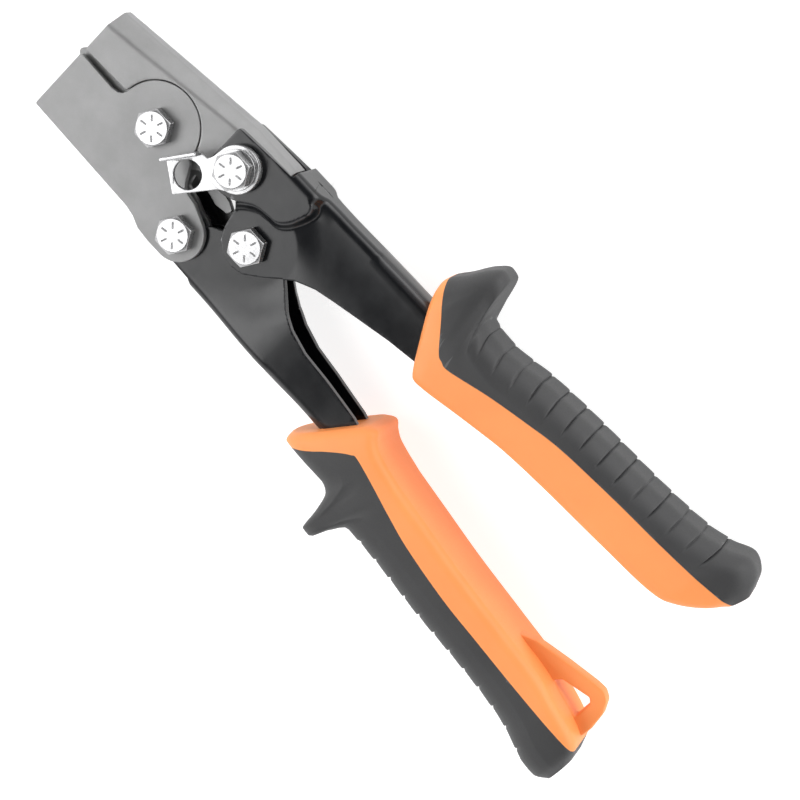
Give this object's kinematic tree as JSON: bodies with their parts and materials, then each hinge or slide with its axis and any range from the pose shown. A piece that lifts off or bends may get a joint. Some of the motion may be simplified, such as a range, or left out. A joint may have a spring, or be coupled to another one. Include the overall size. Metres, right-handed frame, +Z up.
{
  "type": "sheet metal hand crimper",
  "caption": "Hand tool for sheet metal with compound-action steel levers, moulded grips, pivoting bladed jaws, a swinging latch and a cord loop.",
  "frame": {"origin": "centre of the tool's outline on the surface it lies on", "axes": "+Z up from the surface, out of the tool's front; +X from the jaw tip to the grip ends; +Y towards the grip without the cord loop"},
  "size_m": [0.268, 0.1066, 0.0329],
  "materials": {
    "silver_steel": "fine satin grain",
    "black_paint": "glossy black paint",
    "bright_zinc": "bright zinc plating",
    "orange_grip": "smooth moulded orange",
    "grey_grip": "soft matte dark grey",
    "spring_steel": "plain spring wire"
  },
  "bodies": {
    "lower_handle": {"lower_lever": "black_paint", "lower_grip_core": "orange_grip", "lower_grip_cover": "grey_grip", "handle_pivot_bushing": "bright_zinc", "return_spring": "spring_steel"},
    "upper_handle": {"upper_lever": "black_paint", "upper_grip_core": "orange_grip", "upper_grip_cover": "grey_grip", "handle_pivot_bolt": "bright_zinc", "handle_pivot_nut": "bright_zinc", "upper_jaw_bolt": "bright_zinc", "upper_jaw_nut": "bright_zinc", "latch_spacer": "bright_zinc", "latch_washer": "bright_zinc"},
    "lower_jaw": {"lower_jaw_front_plate": "silver_steel", "lower_jaw_back_plate": "silver_steel", "lower_jaw_middle_blade": "silver_steel", "jaw_pivot_bolt": "bright_zinc", "jaw_pivot_nut": "bright_zinc", "lower_jaw_bolt": "bright_zinc", "lower_jaw_nut": "bright_zinc", "jaw_pivot_inner_washer_front": "bright_zinc", "jaw_pivot_inner_washer_back": "bright_zinc", "jaw_pivot_outer_washer_front": "bright_zinc", "jaw_pivot_outer_washer_back": "bright_zinc", "lower_jaw_washer_front": "bright_zinc", "lower_jaw_washer_back": "bright_zinc"},
    "upper_jaw": {"upper_jaw_channel": "silver_steel", "upper_jaw_front_blade": "silver_steel", "upper_jaw_back_blade": "silver_steel", "upper_jaw_bushing": "bright_zinc", "upper_jaw_washer_front": "bright_zinc", "upper_jaw_washer_back": "bright_zinc"},
    "latch": {"latch_plate": "bright_zinc"}
  },
  "joints": [
    {"name": "handle_hinge", "type": "hinge", "parent": "lower_handle", "child": "upper_handle", "pos_m": [-0.0507, -0.0015, 0.014], "axis": [0, 0, 1], "range_deg": [0, 24]},
    {"name": "lower_jaw_hinge", "type": "hinge", "parent": "lower_handle", "child": "lower_jaw", "pos_m": [-0.0696, -0.0164, 0.014], "axis": [0, 0, 1], "range_deg": [0, 18.5]},
    {"name": "jaw_hinge", "type": "hinge", "parent": "lower_jaw", "child": "upper_jaw", "pos_m": [-0.0976, 0.0023, 0.014], "axis": [0, 0, 1], "range_deg": [-16.6, 0]},
    {"name": "latch_hinge", "type": "hinge", "parent": "upper_handle", "child": "latch", "pos_m": [-0.0692, 0.0143, 0.0271], "axis": [0, 0, 1], "range_deg": [-30, 45]}
  ],
  "couplings": [
    {"joint": "lower_jaw_hinge", "follows": "handle_hinge", "ratio": 0.7664},
    {"joint": "jaw_hinge", "follows": "handle_hinge", "ratio": -0.6866}
  ]
}
